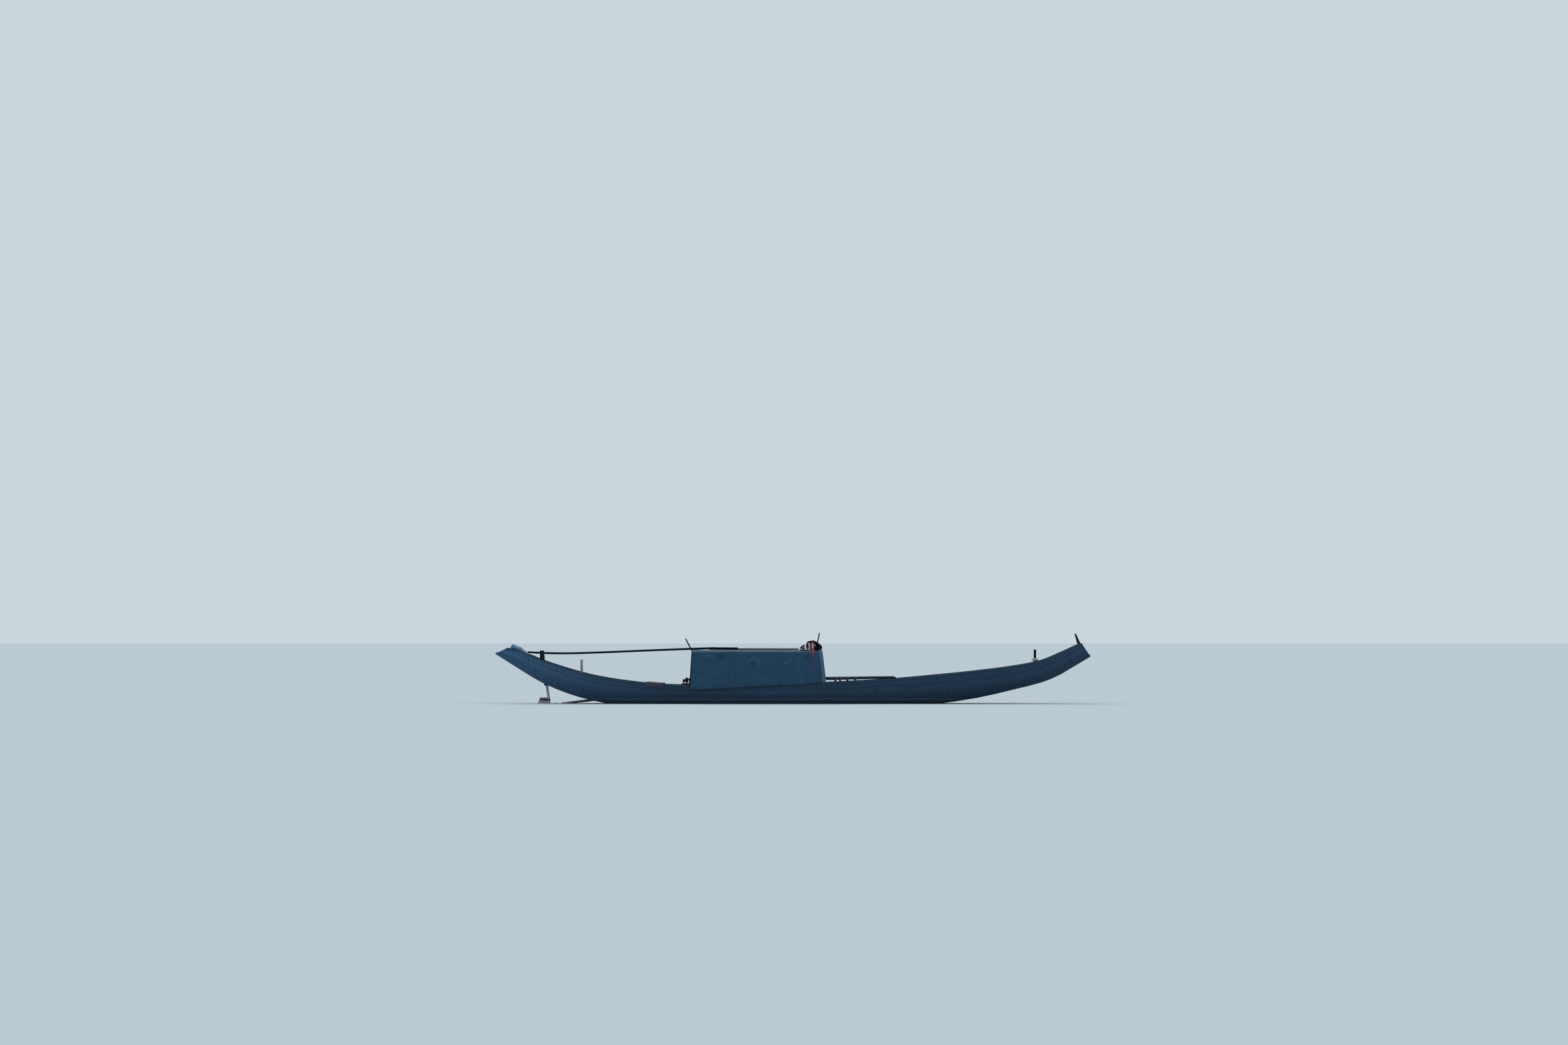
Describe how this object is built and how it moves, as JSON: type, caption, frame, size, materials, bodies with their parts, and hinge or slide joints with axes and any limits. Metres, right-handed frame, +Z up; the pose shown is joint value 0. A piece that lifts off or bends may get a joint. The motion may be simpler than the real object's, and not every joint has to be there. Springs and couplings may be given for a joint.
{
  "type": "long-shaft cabin sampan",
  "caption": "Long narrow wooden sampan with raked ends, box cabin, small open engine on a long propeller shaft, stern rudder and stowed oar.",
  "frame": {"origin": "on the centreline at the waterline, amidships", "axes": "+X to the bow, +Y to port, +Z up"},
  "size_m": [11.0165, 1.58, 1.6262],
  "materials": {
    "tarred": "tarred and sun-faded blue-black planks",
    "tarred_low": "darker tar on the bottom and lower planks",
    "cabin_board": "tarred board, patched, dull slate blue",
    "cabin_rim": "bare weathered blue-grey",
    "dark_wood": "dark oiled wood",
    "deck_wood": "grey-brown bare boards",
    "pale_wood": "pale bare wood",
    "pink_wood": "weathered reddish-grey bare plank",
    "bamboo": "smoke-dark bamboo",
    "dark_cloth": "dark canvas with red and white cords",
    "blue_sheet": "steel-blue woven sheet",
    "rope": "pale laid rope",
    "engine_iron": "oily dark iron",
    "shaft_steel": "worn steel",
    "bronze": "dull bronze",
    "tank_paint": "faded red paint"
  },
  "bodies": {
    "hull": {"bottom_planking_aft": "tarred_low", "bottom_planking_mid": "tarred_low", "bottom_planking_fore": "tarred_low", "lower_strake_port": "tarred_low", "lower_strake_starboard": "tarred_low", "upper_strake_port": "tarred", "upper_strake_starboard": "tarred", "gunwale_port": "tarred", "gunwale_starboard": "tarred", "stern_transom": "tarred", "bow_transom": "tarred", "bow_horn": "dark_wood", "fore_deck": "deck_wood", "aft_deck": "deck_wood", "ribs_and_keelson": "deck_wood", "floorboards_aft": "deck_wood", "floorboards_cabin": "deck_wood", "floorboards_fore": "deck_wood", "fore_thwart": "deck_wood", "helm_thwart": "pink_wood", "mooring_post": "dark_wood", "rowing_post": "pale_wood", "mooring_rope_turns": "rope", "side_rail_port": "dark_wood", "side_rail_starboard": "dark_wood", "cabin_side_port": "cabin_board", "cabin_side_starboard": "cabin_board", "cabin_roof": "cabin_board", "aft_hoop": "dark_wood", "fore_hoop": "cabin_rim", "cabin_frame": "bamboo", "stowed_oar": "bamboo", "oar_crutch": "dark_wood", "roof_pole": "bamboo", "aft_stake": "bamboo", "fore_stake": "bamboo", "door_curtain_roll": "dark_cloth", "stern_sheet": "blue_sheet", "engine_beds": "deck_wood", "engine_crankcase": "engine_iron", "engine_cylinder": "engine_iron", "exhaust_silencer": "engine_iron", "air_cleaner": "engine_iron", "fuel_tank": "tank_paint", "stern_tube": "shaft_steel", "shaft_log": "deck_wood", "rudder_trunk": "dark_wood"},
    "propeller_line": {"propeller_shaft": "shaft_steel", "flywheel": "engine_iron", "propeller": "bronze"},
    "rudder": {"rudder_stock": "dark_wood", "rudder_blade": "pink_wood"}
  },
  "joints": [
    {"name": "shaft_spin", "type": "hinge", "parent": "hull", "child": "propeller_line", "pos_m": [-3, 0, 0.15199], "axis": [0.9926, 0, 0.1211], "continuous": true},
    {"name": "rudder_turn", "type": "hinge", "parent": "hull", "child": "rudder", "pos_m": [-4.646, 0, 0.905], "axis": [-0.1405, 0, 0.9901], "range_deg": [-35, 35]}
  ]
}
